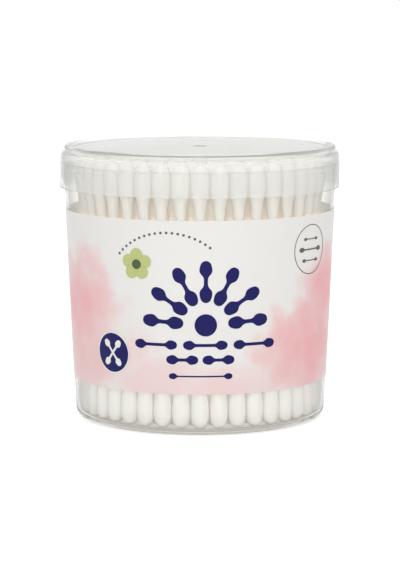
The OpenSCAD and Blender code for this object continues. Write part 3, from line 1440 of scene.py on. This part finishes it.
    def side_signs(self) -> dict[Ink, list[Piece]]:
        """Draws the round badge, the thin ring, the flower of puffs and the dotted arc.

        Returns:
            The flat pictures of each ink.
        """
        badge_edge = self.badge_radius + self.badge_line
        crossed = [Spot(self.badge.across, self.badge.height, tilt) for tilt in self.badge_tilts]
        level = [self.ring.above(rise, size) for rise, size in self.ring_rises]
        dots = arc(self.dots_middle, self.dots_radius, *self.dots_ends, self.dots - 1)
        puffs = arc(self.flower, self.puffs_radius, 90, 90 + 360, self.puffs)[:-1]
        return {
            Ink.NAVY: self.stamp(self.disc("badge_ground", self.badge_radius), self.badge),
            Ink.WHITE: [
                *self.stamp(self.loop("badge_line", badge_edge, self.badge_line), self.badge),
                *self.stamp(self.swab("badge_swab", self.badge_swab, CROSSED_TIP), *crossed),
            ],
            Ink.GREY: [
                *self.stamp(self.loop("thin_ring", self.ring_radius, self.ring_line), self.ring),
                *self.stamp(self.swab("ring_swab", self.ring_swab, FINE_TIP), *level),
                *self.stamp(self.disc("arc_dot", self.dot), *(Spot(*dot) for dot in dots)),
            ],
            Ink.PALE_GREEN: self.stamp(self.disc("puff", self.puff), *(Spot(*puff) for puff in puffs)),
            Ink.DEEP_GREEN: self.stamp(self.disc("flower_middle", self.flower_middle), Spot(*self.flower)),
        }

    def build(self) -> None:
        """Draws every print, wraps it, dresses it in its ink and lets it ride on the tub."""
        front = self.front_group()
        signs = self.side_signs()
        again = self.front_group()
        for ink in Ink:
            name = "print_" + ink.name.lower()
            lift = self.second_lift if ink in (Ink.WHITE, Ink.DEEP_GREEN) else self.first_lift
            layers = [(signs[ink], 0)]
            if ink is Ink.NAVY:
                layers = [(front + signs[ink], 0), (again, self.repeat)]
            pieces = []
            for flat, turned in layers:
                pieces.append(join(name, flat))
                self.wrap(pieces[-1], lift, turned)
            piece = join(name, pieces)
            dress(piece, ink.material())
            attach(piece, "tub")
            report(piece)


# The room


@dataclass(frozen=True)
class Lamp:
    """A large soft square lamp that faces the tub."""

    name: str
    place: Place
    power: float
    size: float = 0.9

    def build(self, aim: Vector) -> None:
        """Hangs the lamp.

        Args:
            aim: The point that it faces.
        """
        place = Vector(self.place)
        bpy.ops.object.select_all(action="DESELECT")
        bpy.ops.object.light_add(type="AREA", location=place)
        lamp = bpy.context.object
        lamp.name = self.name
        lamp.data.size = self.size
        lamp.data.energy = self.power
        lamp.rotation_euler = (aim - place).to_track_quat("-Z", "Y").to_euler()


@dataclass(frozen=True)
class Studio:
    """Camera, floor, lamps and world."""

    aim_height: float = 37.2 * MM
    elevation: float = 7.846
    distance: float = 690.2 * MM
    lens: float = 151.39
    clip_start: float = 0.01
    floor_size: float = 6
    floor_colour: Colour = (0.75, 0.75, 0.75)
    floor_lift: float = 0.5
    world_light: float = 0.76
    bounces: int = 32
    clear_bounces: int = 24
    lamps: tuple[Lamp, ...] = (
        Lamp("front_lamp", (0, -1.15, 0.55), 4.75),
        Lamp("top_lamp", (0.1, -0.1, 1.1), 1.2),
        Lamp("back_lamp", (-0.2, 1.2, 0.8), 2.8),
    )

    def camera(self, aim: Vector) -> None:
        """Places the camera at the photograph's viewing angle.

        Args:
            aim: The point that it looks at.
        """
        bpy.ops.object.select_all(action="DESELECT")
        rise = math.radians(self.elevation)
        back = Vector((0, -math.cos(rise), math.sin(rise)))
        bpy.ops.object.camera_add(location=aim + back * self.distance)
        camera = bpy.context.object
        camera.rotation_euler = (-back).to_track_quat("-Z", "Y").to_euler()
        camera.data.lens = self.lens
        camera.data.clip_start = self.clip_start
        bpy.context.scene.camera = camera

    def looked_along(self, tree: Tree) -> Socket:
        """Tells the camera's rays from those that light the tub.

        Args:
            tree: The nodes of the floor or of the world.

        Returns:
            1 for rays that the camera looks along, also through plastic or by a gloss, and 0 for others.
        """
        rays = tree.add("ShaderNodeLightPath").outputs
        bent = tree.maths("MAXIMUM", rays["Is Glossy Ray"], rays["Is Transmission Ray"])
        direct = tree.maths("LESS_THAN", rays["Diffuse Depth"], 0.5)
        return tree.times(tree.maths("MAXIMUM", rays["Is Camera Ray"], bent), direct)

    def floor(self) -> None:
        """Lays a white floor that keeps the tub's shadow."""
        bpy.ops.object.select_all(action="DESELECT")
        bpy.ops.mesh.primitive_plane_add(size=self.floor_size)
        floor = bpy.context.object
        floor.name = "floor"
        s = Surface("white_floor")
        dress(floor, s.finish({
            "Base Color": self.floor_colour,
            "Roughness": 0.9,
            "Specular IOR Level": 0.1,
            "Emission Color": WHITE,
            "Emission Strength": s.times(self.looked_along(s), self.floor_lift),
        }))

    def world(self) -> None:
        """Sets an even pale world that shows as white behind the tub."""
        world = bpy.data.worlds.new("studio")
        bpy.context.scene.world = world
        world.use_nodes = True
        t = Tree(world.node_tree)
        strength = t.ramp(self.looked_along(t), 0, 1, self.world_light, 1)
        t.fill(t.tree.nodes["Background"], {"Color": WHITE, "Strength": strength})

    def build(self) -> None:
        """Sets up the whole room."""
        scene = bpy.context.scene
        scene.view_settings.view_transform = "Standard"
        scene.cycles.transparent_max_bounces = self.bounces
        scene.cycles.max_bounces = self.bounces
        scene.cycles.transmission_bounces = self.clear_bounces
        aim = Vector((0, 0, self.aim_height))
        self.camera(aim)
        self.floor()
        self.world()
        for lamp in self.lamps:
            lamp.build(aim)


def main() -> None:
    """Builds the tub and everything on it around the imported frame."""
    logging.basicConfig(level=logging.INFO, format="%(message)s")
    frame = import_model()
    Studio().build()
    skin = MouldSkin()
    tub = Tub.from_frame()
    tub.build(TUB_PLASTIC.material(skin))
    Lid.from_frame(tub).build(LID_PLASTIC.material(skin))
    label = frame["nodes"]["label"]
    dress(label, LabelFilm().material(WashPool()))
    label.visible_shadow = False
    LabelPrints(tub).build()
    Swabs().build(frame, Cotton().material(WoundFibre()), RolledPaper().material())


if __name__ == "__main__":
    main()
